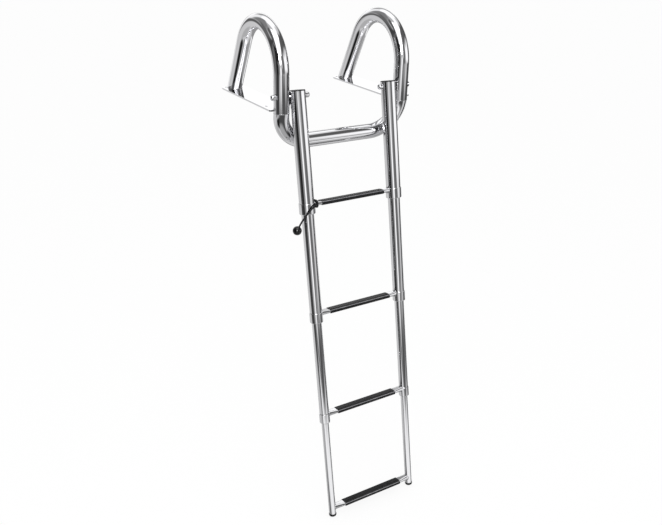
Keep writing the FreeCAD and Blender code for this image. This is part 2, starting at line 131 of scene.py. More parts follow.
class Slot(Enum):
    """The record's material slots for steel, treads and the cord; nothing here assigns them to the pieces."""

    STEEL = "polished_steel"
    TREAD = "tread_black"
    CORD = "cord_black"


def linear(hex_colour: str) -> tuple[float, float, float, float]:
    """Turns an sRGB hex colour to linear.

    Args:
        hex_colour: Six hex digits, with or without a leading hash.

    Returns:
        Red, green, blue and an alpha of 1.
    """
    digits = hex_colour.lstrip("#")
    parts = [int(digits[i:i + 2], 16) / 255 for i in (0, 2, 4)]
    red, green, blue = (
        value / 12.92 if value <= 0.04045 else ((value + 0.055) / 1.055) ** 2.4 for value in parts)
    return (red, green, blue, 1.0)


def grey(level: float) -> tuple[float, float, float, float]:
    """A neutral colour of one linear level."""
    return (level, level, level, 1.0)


def add_node(
    tree: bpy.types.NodeTree,
    kind: str,
    inputs: dict[str | int, object] | None = None,
    **settings: object,
) -> bpy.types.Node:
    """Adds a node with its settings and links.

    Args:
        tree: The tree that gets the node.
        kind: The node's type name.
        inputs: A value or another node's output socket for each input.
        settings: The node's own properties.

    Returns:
        The new node.
    """
    node = tree.nodes.new(kind)
    for name, value in settings.items():
        setattr(node, name, value)
    for name, value in (inputs or {}).items():
        if isinstance(value, bpy.types.NodeSocket):
            tree.links.new(value, node.inputs[name])
        else:
            node.inputs[name].default_value = value
    return node


def new_material(name: str) -> tuple[bpy.types.Material, bpy.types.NodeTree, bpy.types.Node]:
    """An empty node material.

    Args:
        name: The material's name.

    Returns:
        The material, its tree and its output node.
    """
    material = bpy.data.materials.new(name)
    material.use_nodes = True
    tree = material.node_tree
    tree.nodes.clear()
    return material, tree, add_node(tree, "ShaderNodeOutputMaterial")


@dataclass(frozen=True)
class PolishedStainless:
    """Stainless steel tube, drawn and mirror polished: dark and white streaks run along it."""

    colour: str = "#E4E4E6"
    roughness: float = 0.02
    polish_spread: float = 0.045
    haze_width: float = 22 * MM
    ripple_width: float = 9 * MM
    ripple_height: float = 0.004 * MM

    def build(self, name: str) -> bpy.types.Material:
        """Makes the material.

        Args:
            name: The material's name.

        Returns:
            The material: a metal whose polish varies a little from place to place.
        """
        material, tree, output = new_material(name)
        place = add_node(tree, "ShaderNodeTexCoord").outputs["Object"]
        haze = add_node(tree, "ShaderNodeTexNoise", {
            "Vector": place, "Scale": 1 / self.haze_width, "Detail": 3.0})
        polish = add_node(tree, "ShaderNodeMapRange", {
            "Value": haze.outputs["Fac"], "From Min": 0.35, "From Max": 0.7,
            "To Min": self.roughness, "To Max": self.roughness + self.polish_spread})
        ripple = add_node(tree, "ShaderNodeTexNoise", {
            "Vector": place, "Scale": 1 / self.ripple_width, "Detail": 1.0})
        bump = add_node(tree, "ShaderNodeBump", {
            "Height": ripple.outputs["Fac"], "Distance": self.ripple_height, "Strength": 1.0})
        surface = add_node(tree, "ShaderNodeBsdfPrincipled", {
            "Base Color": linear(self.colour), "Metallic": 1.0,
            "Roughness": polish.outputs["Result"], "Normal": bump.outputs["Normal"]})
        tree.links.new(surface.outputs["BSDF"], output.inputs["Surface"])
        return material


@dataclass(frozen=True)
class WeldBead:
    """Stainless weld bead, fused and then pickled: duller and finely rippled beside the polished tube."""

    colour: str = "#C9C9CB"
    roughness: float = 0.22
    ripple_pitch: float = 1.6 * MM
    ripple_height: float = 0.12 * MM

    def build(self, name: str) -> bpy.types.Material:
        """Makes the material.

        Args:
            name: The material's name.

        Returns:
            The material: a satin metal with the bead's small scales.
        """
        material, tree, output = new_material(name)
        place = add_node(tree, "ShaderNodeTexCoord").outputs["Object"]
        scales = add_node(tree, "ShaderNodeTexVoronoi", {"Vector": place, "Scale": 1 / self.ripple_pitch})
        bump = add_node(tree, "ShaderNodeBump", {
            "Height": scales.outputs["Distance"], "Distance": self.ripple_height, "Strength": 1.0})
        surface = add_node(tree, "ShaderNodeBsdfPrincipled", {
            "Base Color": linear(self.colour), "Metallic": 1.0,
            "Roughness": self.roughness, "Normal": bump.outputs["Normal"]})
        tree.links.new(surface.outputs["BSDF"], output.inputs["Surface"])
        return material


@dataclass(frozen=True)
class MouldedPlastic:
    """Black moulded polypropylene with a fine grain: dark, greyer where it is seen at a low angle."""

    colour: str = "#0E0E10"
    # greyer scuff colour; on the tread's nose it is part of the painted highlight
    worn_colour: str = "#1C1C1F"
    roughness: float = 0.26
    roughness_spread: float = 0.14
    gloss: float = 0.35
    grain: float = 0.9 * MM
    grain_height: float = 0.02 * MM
    scuff: float = 14 * MM

    def build(self, name: str) -> bpy.types.Material:
        """Makes the material.

        Args:
            name: The material's name.

        Returns:
            The material: plastic a little greyer and rougher where feet scuff it; with the nose's pale
                colours the greys are a painted highlight.
        """
        material, tree, output = new_material(name)
        place = add_node(tree, "ShaderNodeTexCoord").outputs["Object"]
        scuffs = add_node(tree, "ShaderNodeTexNoise", {
            "Vector": place, "Scale": 1 / self.scuff, "Detail": 5.0})
        worn = add_node(tree, "ShaderNodeMapRange", {
            "Value": scuffs.outputs["Fac"], "From Min": 0.45, "From Max": 0.75})
        colour = add_node(tree, "ShaderNodeMix", {
            "Factor": worn.outputs["Result"], 6: linear(self.colour), 7: linear(self.worn_colour)},
            data_type="RGBA")
        rough = add_node(tree, "ShaderNodeMapRange", {
            "Value": scuffs.outputs["Fac"], "From Min": 0.3, "From Max": 0.7,
            "To Min": self.roughness, "To Max": self.roughness + self.roughness_spread})
        grain = add_node(tree, "ShaderNodeTexNoise", {
            "Vector": place, "Scale": 1 / self.grain, "Detail": 2.0})
        bump = add_node(tree, "ShaderNodeBump", {
            "Height": grain.outputs["Fac"], "Distance": self.grain_height, "Strength": 1.0})
        surface = add_node(tree, "ShaderNodeBsdfPrincipled", {
            "Base Color": colour.outputs[2], "Roughness": rough.outputs["Result"],
            "Specular IOR Level": self.gloss, "Normal": bump.outputs["Normal"]})
        tree.links.new(surface.outputs["BSDF"], output.inputs["Surface"])
        return material


@dataclass(frozen=True)
class BraidedCover:
    """Elastic cord in a braided polyester cover: matt black with small slanting ribs."""

    colour: str = "#0D0D0F"
    thread_colour: str = "#1E1E21"
    thread: float = 1.1 * MM
    thread_height: float = 0.12 * MM
    roughness: float = 0.62
    gloss: float = 0.2

    def build(self, name: str) -> bpy.types.Material:
        """Makes the material.

        Args:
            name: The material's name.

        Returns:
            The material: crossed slanting bands as of a fine braid.
        """
        material, tree, output = new_material(name)
        place = add_node(tree, "ShaderNodeTexCoord").outputs["Object"]
        bands = [
            add_node(tree, "ShaderNodeTexWave", {
                "Vector": place, "Scale": WAVE_LENGTH / self.thread, "Distortion": 0.0},
                bands_direction=direction).outputs["Fac"]
            for direction in ("X", "Z")
        ]
        braid = add_node(tree, "ShaderNodeMath", {0: bands[0], 1: bands[1]}, operation="MAXIMUM")
        colour = add_node(tree, "ShaderNodeMix", {
            "Factor": braid.outputs[0], 6: linear(self.colour), 7: linear(self.thread_colour)},
            data_type="RGBA")
        bump = add_node(tree, "ShaderNodeBump", {
            "Height": braid.outputs[0], "Distance": self.thread_height, "Strength": 1.0})
        surface = add_node(tree, "ShaderNodeBsdfPrincipled", {
            "Base Color": colour.outputs[2], "Roughness": self.roughness,
            "Specular IOR Level": self.gloss, "Normal": bump.outputs["Normal"]})
        tree.links.new(surface.outputs["BSDF"], output.inputs["Surface"])
        return material


@dataclass(frozen=True)
class GlossBall:
    """Black phenolic ball, moulded and buffed: it shows small clear highlights."""

    colour: str = "#0B0B0C"
    roughness: float = 0.07
    roughness_spread: float = 0.06
    smear: float = 8 * MM
    gloss: float = 0.5

    def build(self, name: str) -> bpy.types.Material:
        """Makes the material.

        Args:
            name: The material's name.

        Returns:
            The material: gloss black with faint smears.
        """
        material, tree, output = new_material(name)
        place = add_node(tree, "ShaderNodeTexCoord").outputs["Object"]
        smears = add_node(tree, "ShaderNodeTexNoise", {
            "Vector": place, "Scale": 1 / self.smear, "Detail": 4.0})
        rough = add_node(tree, "ShaderNodeMapRange", {
            "Value": smears.outputs["Fac"], "From Min": 0.4, "From Max": 0.75,
            "To Min": self.roughness, "To Max": self.roughness + self.roughness_spread})
        surface = add_node(tree, "ShaderNodeBsdfPrincipled", {
            "Base Color": linear(self.colour), "Roughness": rough.outputs["Result"],
            "Specular IOR Level": self.gloss})
        tree.links.new(surface.outputs["BSDF"], output.inputs["Surface"])
        return material


@dataclass
class Finishes:
    """The materials, made once and shared by the pieces."""

    steel: bpy.types.Material = field(init=False)
    weld: bpy.types.Material = field(init=False)
    tread: bpy.types.Material = field(init=False)
    # the tread's upper front edge, pale grey as a painted highlight
    nose: bpy.types.Material = field(init=False)
    cap: bpy.types.Material = field(init=False)
    foot: bpy.types.Material = field(init=False)
    cord: bpy.types.Material = field(init=False)
    ball: bpy.types.Material = field(init=False)

    def __post_init__(self) -> None:
        """Makes every material."""
        self.steel = PolishedStainless().build("polished_stainless_tube")
        self.weld = WeldBead().build("stainless_weld_bead")
        self.tread = MouldedPlastic(roughness=0.2, gloss=0.25).build("moulded_polypropylene_tread")
        # painted highlight: the light line along each tread's front edge, painted as pale grey colours on the
        # edge
        self.nose = MouldedPlastic(
            colour="#7C7C7F", worn_colour="#9A9A9D", roughness=0.16, roughness_spread=0.08, gloss=0.6,
            grain_height=0.005 * MM).build("rubbed_polypropylene_nose")
        self.cap = MouldedPlastic(roughness=0.32, scuff=9 * MM).build("moulded_polypropylene_cap")
        self.foot = MouldedPlastic(
            colour="#131314", worn_colour="#232324", roughness=0.4, scuff=6 * MM).build("moulded_rubber_foot")
        self.cord = BraidedCover().build("braided_elastic_cord")
        self.ball = GlossBall().build("buffed_phenolic_ball")


@dataclass
class Rails:
    """The leaning rails' own coordinates, and the sizes that pieces on them share."""

    frame: dict
    lean: float = math.radians(10.5)
    spacing: float = 261 * MM
    first_rung: float = -265.8 * MM
    pitch: float = -287 * MM
    tube_radii: tuple[float, ...] = (19 * MM, 15.8 * MM, 12.8 * MM, 9.7 * MM)
    collar_wall: float = 1.4 * MM
    collar_above: float = 4.3 * MM
    hinge: Vector = field(init=False)
    axes: Matrix = field(init=False)

    def __post_init__(self) -> None:
        """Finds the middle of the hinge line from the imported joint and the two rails."""
        fold = next(joint for joint in self.frame["joints"] if joint["name"] == "rail_fold")
        left, right = (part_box(f"{side.word}_first_tube") for side in Side)
        middle = (left[0].x + right[1].x) / 2
        self.hinge = Vector((middle, fold["pos_m"][1], fold["pos_m"][2]))
        self.axes = Matrix.Translation(self.hinge) @ Matrix.Rotation(-self.lean, 4, "X")

    def point(self, across: float, along: float, up: float) -> Vector:
        """A point of the rails' coordinates in the row frame."""
        return self.axes @ Vector((across, along, up))

    def rung_height(self, level: Level) -> float:
        """Where a section's rung lies along the rails."""
        return self.first_rung + self.pitch * list(Level).index(level)

    def tube_surface(self, level: Level, above: float) -> float:
        """Radius of a rail's outer surface beside its rung.

        Args:
            level: The section.
            above: Height above the rung's axis.

        Returns:
            The radius of the tube, or of its collar where that covers the tube.
        """
        radius = self.tube_radii[list(Level).index(level)]
        covered = level is not Level.FOURTH and above < self.collar_above
        return radius + self.collar_wall if covered else radius


def mesh_piece(
    name: str,
    points: Sequence[Vector],
    faces: Sequence[Sequence[int]],
    material: bpy.types.Material,
    smooth_angle: float = math.radians(35),
) -> bpy.types.Object:
    """Makes a mesh object with one material.

    Args:
        name: The piece's name.
        points: Its vertices, in the row frame.
        faces: Indices of each face's vertices.
        material: The finish.
        smooth_angle: Edges bent by more than this stay sharp.

    Returns:
        The object.
    """
    mesh = bpy.data.meshes.new(name)
    mesh.from_pydata([tuple(point) for point in points], [], [tuple(face) for face in faces])
    shape = bmesh.new()
    shape.from_mesh(mesh)
    bmesh.ops.recalc_face_normals(shape, faces=shape.faces)
    for edge in shape.edges:
        edge.smooth = len(edge.link_faces) == 2 and edge.calc_face_angle(0.0) < smooth_angle
    for face in shape.faces:
        face.smooth = True
    shape.to_mesh(mesh)
    shape.free()
    mesh.materials.append(material)
    piece = bpy.data.objects.new(name, mesh)
    bpy.context.collection.objects.link(piece)
    return piece


def bead(
    name: str,
    points: Sequence[Vector],
    radius: float,
    material: bpy.types.Material,
    closed: bool = True,
    sides: int = 8,
) -> bpy.types.Object:
    """A round bead along a line that bends round a middle, such as a weld.

    Args:
        name: The piece's name.
        points: The line's points, in the row frame.
        radius: The bead's radius.
        material: The finish.
        closed: Whether the line is an endless ring.
        sides: Faces round the bead.

    Returns:
        The object.
    """
    count = len(points)
    middle = sum(points, Vector()) / count
    corners = []
    for index, point in enumerate(points):
        before = points[index - 1] if closed or index else point
        after = points[(index + 1) % count] if closed or index < count - 1 else point
        along = (after - before).normalized()
        outward = (point - middle) - along * (point - middle).dot(along)
        outward.normalize()
        across = along.cross(outward)
        for side in range(sides):
            turn = 2 * math.pi * side / sides
            corners.append(point + (outward * math.cos(turn) + across * math.sin(turn)) * radius)
    faces = []
    for ring in range(count if closed else count - 1):
        follower = (ring + 1) % count
        for side in range(sides):
            beside = (side + 1) % sides
            faces.append((ring * sides + side, ring * sides + beside,
                          follower * sides + beside, follower * sides + side))
    if not closed:
        faces += [tuple(range(sides)), tuple(range((count - 1) * sides, count * sides))]
    return mesh_piece(name, corners, faces, material, BEAD_SMOOTH)


@dataclass
class SteelFrame:
    """The carried-over tubes, plates, collars, bolts and rungs, which keep their shape."""

    frame: dict
    finishes: Finishes

    def dress(self) -> int:
        """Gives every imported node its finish.

        Returns:
            How many nodes were dressed.
        """
        others = {"rail_cap": self.finishes.cap, "foot": self.finishes.foot}
        for name, node in self.frame["nodes"].items():
            finish = others.get(name.partition("_")[2], self.finishes.steel)
            node.data.materials.clear()
            node.data.materials.append(finish)
        return len(self.frame["nodes"])


@dataclass(frozen=True)
class HandleSizes:
    """Sizes of the handles and the crossbar, given from the middle of the hinge line."""

    across: float = 171.9 * MM
    behind: float = 4.5 * MM
    arch_radius: float = 107 * MM
    arch_up: float = 51.6 * MM
    rear_foot: float = 275.54 * MM
    rear_lean: float = math.radians(28)
    plate_top: float = -29 * MM
    seam: float = -39 * MM
    elbow_radius: float = 78 * MM
    bar_behind: float = 22.17 * MM
    bar_up: float = -118 * MM


@dataclass
class BentTubes:
    """The handles and the crossbar, swept evenly so that the streaks run smoothly round the bends."""

    rails: Rails
    finishes: Finishes
    sizes: HandleSizes = HandleSizes()
    sides: int = 72
    bend_step: float = math.radians(2)

    def bend(
        self, centre: Vector, outward: Vector, ahead: Vector, radius: float, angle: float,
    ) -> list[tuple[Vector, Vector]]:
        """Stations round a bend.

        Args:
            centre: The bend's middle.
            outward: Direction from the middle to the bend's start.
            ahead: Direction of the tube at the start.
            radius: The bend's centre-line radius.
            angle: How far the tube turns.

        Returns:
            Centre and direction of each station.
        """
        count = round(angle / self.bend_step)
        stations = []
        for step in range(count + 1):
            turn = angle * step / count
            spot = centre + (outward * math.cos(turn) + ahead * math.sin(turn)) * radius
            stations.append((spot, ahead * math.cos(turn) - outward * math.sin(turn)))
        return stations

    def sweep(
        self, name: str, stations: Sequence[tuple[Vector, Vector]], plane: Vector, ends: tuple[float, float],
    ) -> bpy.types.Object:
        """A tube along stations that lie in one plane, cut level at both ends.

        Args:
            name: The piece's name.
            stations: Centre and direction of each ring, from the middle of the hinge line.
            plane: The plane's normal.
            ends: Heights of the first and the last ring.

        Returns:
            The object.
        """
        radius = self.rails.tube_radii[0]
        points = []
        for index, (centre, ahead) in enumerate(stations):
            beside = ahead.cross(plane)
            for side in range(self.sides):
                turn = 2 * math.pi * side / self.sides
                point = centre + (plane * math.cos(turn) + beside * math.sin(turn)) * radius
                if index in (0, len(stations) - 1):
                    point += ahead * ((ends[index > 0] - point.z) / ahead.z)
                points.append(self.rails.hinge + point)
        faces = [tuple(range(self.sides)), tuple(range(len(points) - self.sides, len(points)))]
        for ring in range(len(stations) - 1):
            for side in range(self.sides):
                beside = (side + 1) % self.sides
                faces.append((ring * self.sides + side, ring * self.sides + beside,
                              (ring + 1) * self.sides + beside, (ring + 1) * self.sides + side))
        return mesh_piece(name, points, faces, self.finishes.steel)

    def handle(self, side: Side) -> bpy.types.Object:
        """One arched handle: upright front leg, round arch, rear leg that leans back.

        Args:
            side: The handle's side.

        Returns:
            The piece.
        """
        sizes = self.sizes
        across = side.value * sizes.across
        centre = Vector((across, sizes.behind + sizes.arch_radius, sizes.arch_up))
        up, front = Vector((0, 0, 1)), Vector((0, -1, 0))
        arch = self.bend(centre, front, up, sizes.arch_radius, math.pi - sizes.rear_lean)
        start = (Vector((across, sizes.behind, sizes.seam)), up)
        end = (Vector((across, sizes.rear_foot, sizes.plate_top)), arch[-1][1])
        return self.sweep(f"{side.word}_bent_handle", [start, *arch, end], Vector((1, 0, 0)),
                          (sizes.seam, sizes.plate_top))

    def crossbar(self) -> bpy.types.Object:
        """The bent tube below the plates, in its leaning plane.

        Returns:
            The piece.
        """
        sizes = self.sizes
        fall = Vector((0, sizes.bar_behind - sizes.behind, sizes.bar_up - sizes.seam))
        down, right = fall.normalized(), Vector((1, 0, 0))
        seam = Vector((0, sizes.behind, sizes.seam))
        reach = right * (sizes.across - sizes.elbow_radius)
        middle = seam + down * (fall.length - sizes.elbow_radius)
        quarter = math.pi / 2
        left_bend = self.bend(middle - reach, -right, down, sizes.elbow_radius, quarter)
        right_bend = self.bend(middle + reach, down, right, sizes.elbow_radius, quarter)
        start = (seam - right * sizes.across, down)
        end = (seam + right * sizes.across, -down)
        return self.sweep("bent_crossbar", [start, *left_bend, *right_bend, end], right.cross(down),
                          (sizes.seam, sizes.seam))

    def build(self) -> list[bpy.types.Object]:
        """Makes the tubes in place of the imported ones.

        Returns:
            The three pieces.
        """
        tubes = {f"{side.word}_handle": self.handle(side) for side in Side}
        tubes["crossbar"] = self.crossbar()
        for node, tube in tubes.items():
            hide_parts(node)
            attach(tube, "handle_frame")
        return list(tubes.values())


@dataclass
class Welds:
    """Weld beads where tubes meet plates and rungs meet rails, and the ring at the crossbar's seams."""

    rails: Rails
    finishes: Finishes
    sizes: HandleSizes = HandleSizes()
    bead_radius: float = 1.1 * MM
    neck_radius: float = 0.9 * MM
    seam_radius: float = 0.55 * MM
    neck_depth: float = 17 * MM
    neck_height: float = 16 * MM
    neck_corner: float = 7.5 * MM
    steps: int = 40

    def level_point(self, across: float, along: float, up: float) -> Vector:
        """A point from the middle of the hinge line, along the row frame's axes."""
        return self.rails.hinge + Vector((across, along, up))

    def foot_ring(self, side: Side, along: float, stretch: float, height: float, half: bool) -> list[Vector]:
        """A ring round a leg at one height.

        Args:
            side: The handle's side.
            along: The leg's axis behind the hinge line.
            stretch: Length over width of the leg's section at this height.
            height: Height above the hinge line.
            half: Whether only the rear half is wanted.

        Returns:
            The ring's points.
        """
        radius = self.rails.tube_radii[0]
        share = 0.5 if half else 1.0
        count = int(self.steps * share)
        points = []
        for step in range(count + int(half)):
            turn = 2 * math.pi * share * step / count
            points.append(self.level_point(side.value * self.sizes.across + radius * math.cos(turn),
                                           along + radius * stretch * math.sin(turn), height))
        return points

    def neck_ring(self, side: Side, level: Level) -> list[Vector]:
        """The line where a rung's neck meets its rail.

        Args:
            side: The rail's side.
            level: The section.

        Returns:
            The line's points, round the neck.
        """
        corner = self.neck_corner
        half_depth, half_height = self.neck_depth / 2 - corner, self.neck_height / 2 - corner
        points = []
        for step in range(self.steps):
            turn = 2 * math.pi * step / self.steps
            along = math.copysign(half_depth, math.cos(turn)) + corner * math.cos(turn)
            above = math.copysign(half_height, math.sin(turn)) + corner * math.sin(turn)
            radius = self.rails.tube_surface(level, above)
            across = self.rails.spacing / 2 - math.sqrt(radius ** 2 - along ** 2)
            points.append(self.rails.point(side.value * across, along, self.rails.rung_height(level) + above))
        return points

    def build(self) -> list[bpy.types.Object]:
        """Makes the beads and rings.

        Returns:
            The pieces.
        """
        pieces = []
        sizes = self.sizes
        rear_stretch = 1 / math.cos(sizes.rear_lean)
        for side in Side:
            front = self.foot_ring(side, sizes.behind, 1.0, sizes.plate_top, True)
            rear = self.foot_ring(side, sizes.rear_foot, rear_stretch, sizes.plate_top, False)
            seam = self.foot_ring(side, sizes.behind, 1.0, sizes.seam, False)
            rings = {
                "front_weld": (front, self.bead_radius),
                "rear_weld": (rear, self.bead_radius),
                "seam_ring": (seam, self.seam_radius),
            }
            for word, (points, radius) in rings.items():
                piece = bead(f"{side.word}_{word}", points, radius, self.finishes.weld, word != "front_weld")
                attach(piece, "handle_frame")
                pieces.append(piece)
            for level in Level:
                piece = bead(f"{side.word}_{level.word}_neck_weld", self.neck_ring(side, level),
                             self.neck_radius, self.finishes.weld)
                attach(piece, level.value)
                pieces.append(piece)
        return pieces


@dataclass
class Treads:
    """Four moulded treads: a rounded sleeve with ribs along its top and a lip at its front."""

    rails: Rails
    finishes: Finishes
    length: float = 186 * MM
    depth: float = 26.6 * MM
    height: float = 11.8 * MM
    nose: float = 5 * MM
    nose_steps: int = 8
    groove_pitch: float = 4.5 * MM
    groove_width: float = 1.6 * MM
    groove_depth: float = 0.7 * MM
    groove_count: int = 4
    edges_per_groove: int = 6
    end_bevel: float = 0.9 * MM
    # angles round the nose, in degrees, that get the painted highlight
    nose_from: float = 20.0
    nose_to: float = 47.0
    crown: float = 0.4 * MM

    def profile(self) -> list[tuple[float, float]]:
        """The section across the tread, from its back edge round the top to the front and below.

        Returns:
            Depth and height of each point.
        """
        half, top = self.depth / 2, self.height / 2
        points = []
        corners = ((half - self.nose, top - self.nose, 0.0), (-half + self.nose, top - self.nose, 0.25),
                   (-half + self.nose, -top + self.nose, 0.5), (half - self.nose, -top + self.nose, 0.75))
        for index, (along, up, start) in enumerate(corners):
            for step in range(self.nose_steps + 1):
                turn = 2 * math.pi * (start + 0.25 * step / self.nose_steps)
                points.append((along + self.nose * math.cos(turn), up + self.nose * math.sin(turn)))
            if index == 0:
                points.extend(self.ribs(top))
        return [(along, self.crowned(along, up)) for along, up in points]

    def crowned(self, along: float, up: float) -> float:
        """Height of a point once the flat top is slightly domed, down to nothing at the middle height."""
        share = max(0.0, up / (self.height / 2))
        return up - self.crown * share * (along / (self.depth / 2)) ** 2

    def ribs(self, top: float) -> list[tuple[float, float]]:
        """The grooves across the top, from back to front.

        Args:
            top: Height of the ribs' tops.

        Returns:
            Depth and height of each point.
        """
        points = []
        edge = self.groove_width / self.edges_per_groove
        half = self.groove_width / 2
        for index in range(self.groove_count):
            middle = self.groove_pitch * ((self.groove_count - 1) / 2 - index)
            floor = top - self.groove_depth
            back, front = middle + half, middle - half
            points += [(back + edge, top), (back, top - edge), (back - edge, floor),
                       (front + edge, floor), (front, top - edge), (front - edge, top)]
        return points

    def rub_nose(self, piece: bpy.types.Object, height: float) -> None:
        """Gives the tread's upper front edge the pale finish that paints a highlight along it.

        Args:
            piece: The tread.
            height: Where its rung lies along the rails.
        """
        # pale grey nose finish: a painted highlight
        piece.data.materials.append(self.finishes.nose)
        inverse = self.rails.axes.inverted()
        first = self.nose - self.depth / 2
        for face in piece.data.polygons:
            spot = inverse @ face.center
            angle = math.degrees(math.atan2(spot.z - height - (self.height / 2 - self.nose), first - spot.y))
            if spot.y < first and self.nose_from < angle < self.nose_to:
                face.material_index = 1

    def build(self) -> list[bpy.types.Object]:
        """Makes the treads in place of the plain ones.

        Returns:
            The four pieces.
        """
        section = self.profile()
        count = len(section)
        half = self.length / 2
        ends = ((-half, self.end_bevel), (-half + self.end_bevel, 0.0),
                (half - self.end_bevel, 0.0), (half, self.end_bevel))
        last = len(ends) - 1
        treads = []
        for level in Level:
            height = self.rails.rung_height(level)
            points = []
            for across, inset in ends:
                for along, up in section:
                    along_in = along * (1 - inset / (self.depth / 2))
                    up_in = up * (1 - inset / (self.height / 2))
                    points.append(self.rails.point(across, along_in, height + up_in))
            faces = [tuple(range(count)), tuple(range(last * count, len(ends) * count))]
            for ring in range(last):
                for index in range(count):
                    beside = (index + 1) % count
                    faces.append((ring * count + index, ring * count + beside,
                                  (ring + 1) * count + beside, (ring + 1) * count + index))
            piece = mesh_piece(f"{level.word}_ribbed_tread", points, faces, self.finishes.tread)
            self.rub_nose(piece, height)
            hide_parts(f"{level.word}_tread")
            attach(piece, level.value)
            treads.append(piece)
        return treads


@dataclass
class RetainingCord:
    """The black elastic cord with a ball, looped round the left neck of the first rung."""

    rails: Rails
    finishes: Finishes
    diameter: float = 4.4 * MM
    length: float = 88 * MM
    neck: float = -107 * MM
    front: float = -12.75 * MM

    def route(self) -> list[Vector]:
        """The route's points as in the part's source, from the loop to the ball.

        Returns:
            The points in the row frame.
        """
        rung = self.rails.first_rung
        spots = (
            (0.0, 0.0, 0.001),
            (-0.0085, -0.007, 0.001),
            (-0.0185, -0.012, -0.003),
            (-0.0285, -0.013, -0.010),
            (-0.038, -0.0125, -0.0185),
            (-0.0465, -0.0115, -0.027),
            (-0.0545, -0.010, -0.036),
            (-0.0605, -0.0085, -0.0455),
        )
        return [
            self.rails.point(self.neck + across, self.front + along, rung + up)
            for across, along, up in spots
        ]

    def curve(self, name: str, points: Sequence[Vector]) -> bpy.types.Object:
        """A round cord along a smooth line.

        Args:
            name: The piece's name.
            points: The line's control points.

        Returns:
            The curve object.
        """
        line = bpy.data.curves.new(name, "CURVE")
        line.dimensions = "3D"
        line.bevel_depth = self.diameter / 2
        line.bevel_resolution = 5
        line.resolution_u = 10
        line.use_fill_caps = True
        spline = line.splines.new("NURBS")
        spline.points.add(len(points) - 1)
        for point, place in zip(spline.points, points):
            point.co = (*place, 1.0)
        spline.order_u = 3
        spline.use_endpoint_u = True
        line.materials.append(self.finishes.cord)
        piece = bpy.data.objects.new(name, line)
        bpy.context.collection.objects.link(piece)
        return piece

    def build(self) -> list[bpy.types.Object]:
        """Makes the cord, and gives its packed loop and ball their finishes.

        Returns:
            The cord alone.
        """
        route = self.route()
        cord = self.curve("elastic_cord", route)
        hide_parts("retainer_cord")
        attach(cord, Level.FIRST.value)
        ball = bpy.data.objects["retainer_ball"]
        ball.data.materials.clear()
        ball.data.materials.append(self.finishes.ball)
        loop = bpy.data.objects["cord_loop"]
        loop.data.materials.clear()
        loop.data.materials.append(self.finishes.cord)
        return [cord]


@dataclass(frozen=True)
class Board:
    """A white, grey or dark board of the studio, as the polish sees it from the object's middle.

    Headings run clockwise from +Y seen from above, and heights from the horizon, all in degrees.
    """

    headings: tuple[float, float]
    heights: tuple[float, float]
    level: float
    blur: float = 5.0
    lean: float = 0.0

    def mask(
        self, tree: bpy.types.NodeTree, heading: bpy.types.NodeSocket, height: bpy.types.NodeSocket,
    ) -> bpy.types.NodeSocket:
        """Adds the nodes that find the board.

        Args:
            tree: The world's tree.
            heading: The direction's heading.
            height: The direction's height.

        Returns:
            A socket that is 1 on the board and 0 beside it.
        """
        half = (self.headings[1] - self.headings[0]) / 2
        beside = add_node(tree, "ShaderNodeMath", {
            0: heading, 1: self.headings[0] + half}, operation="SUBTRACT")
        turn = add_node(tree, "ShaderNodeMath", {0: beside.outputs[0], 1: 180.0, 2: -180.0}, operation="WRAP")
        away = add_node(tree, "ShaderNodeMath", {0: turn.outputs[0]}, operation="ABSOLUTE")
        upright = add_node(tree, "ShaderNodeMath", {
            0: turn.outputs[0], 1: -self.lean, 2: height}, operation="MULTIPLY_ADD")
        edges = (
            (away, half + self.blur, half - self.blur),
            (upright, self.heights[0] - self.blur, self.heights[0] + self.blur),
            (upright, self.heights[1] + self.blur, self.heights[1] - self.blur),
        )
        share = 1.0
        for value, outside, inside in edges:
            share = add_node(tree, "ShaderNodeMapRange", {
                "Value": value.outputs[0], "From Min": outside, "From Max": inside, "To Max": share},
                interpolation_type="SMOOTHSTEP").outputs["Result"]
        return share


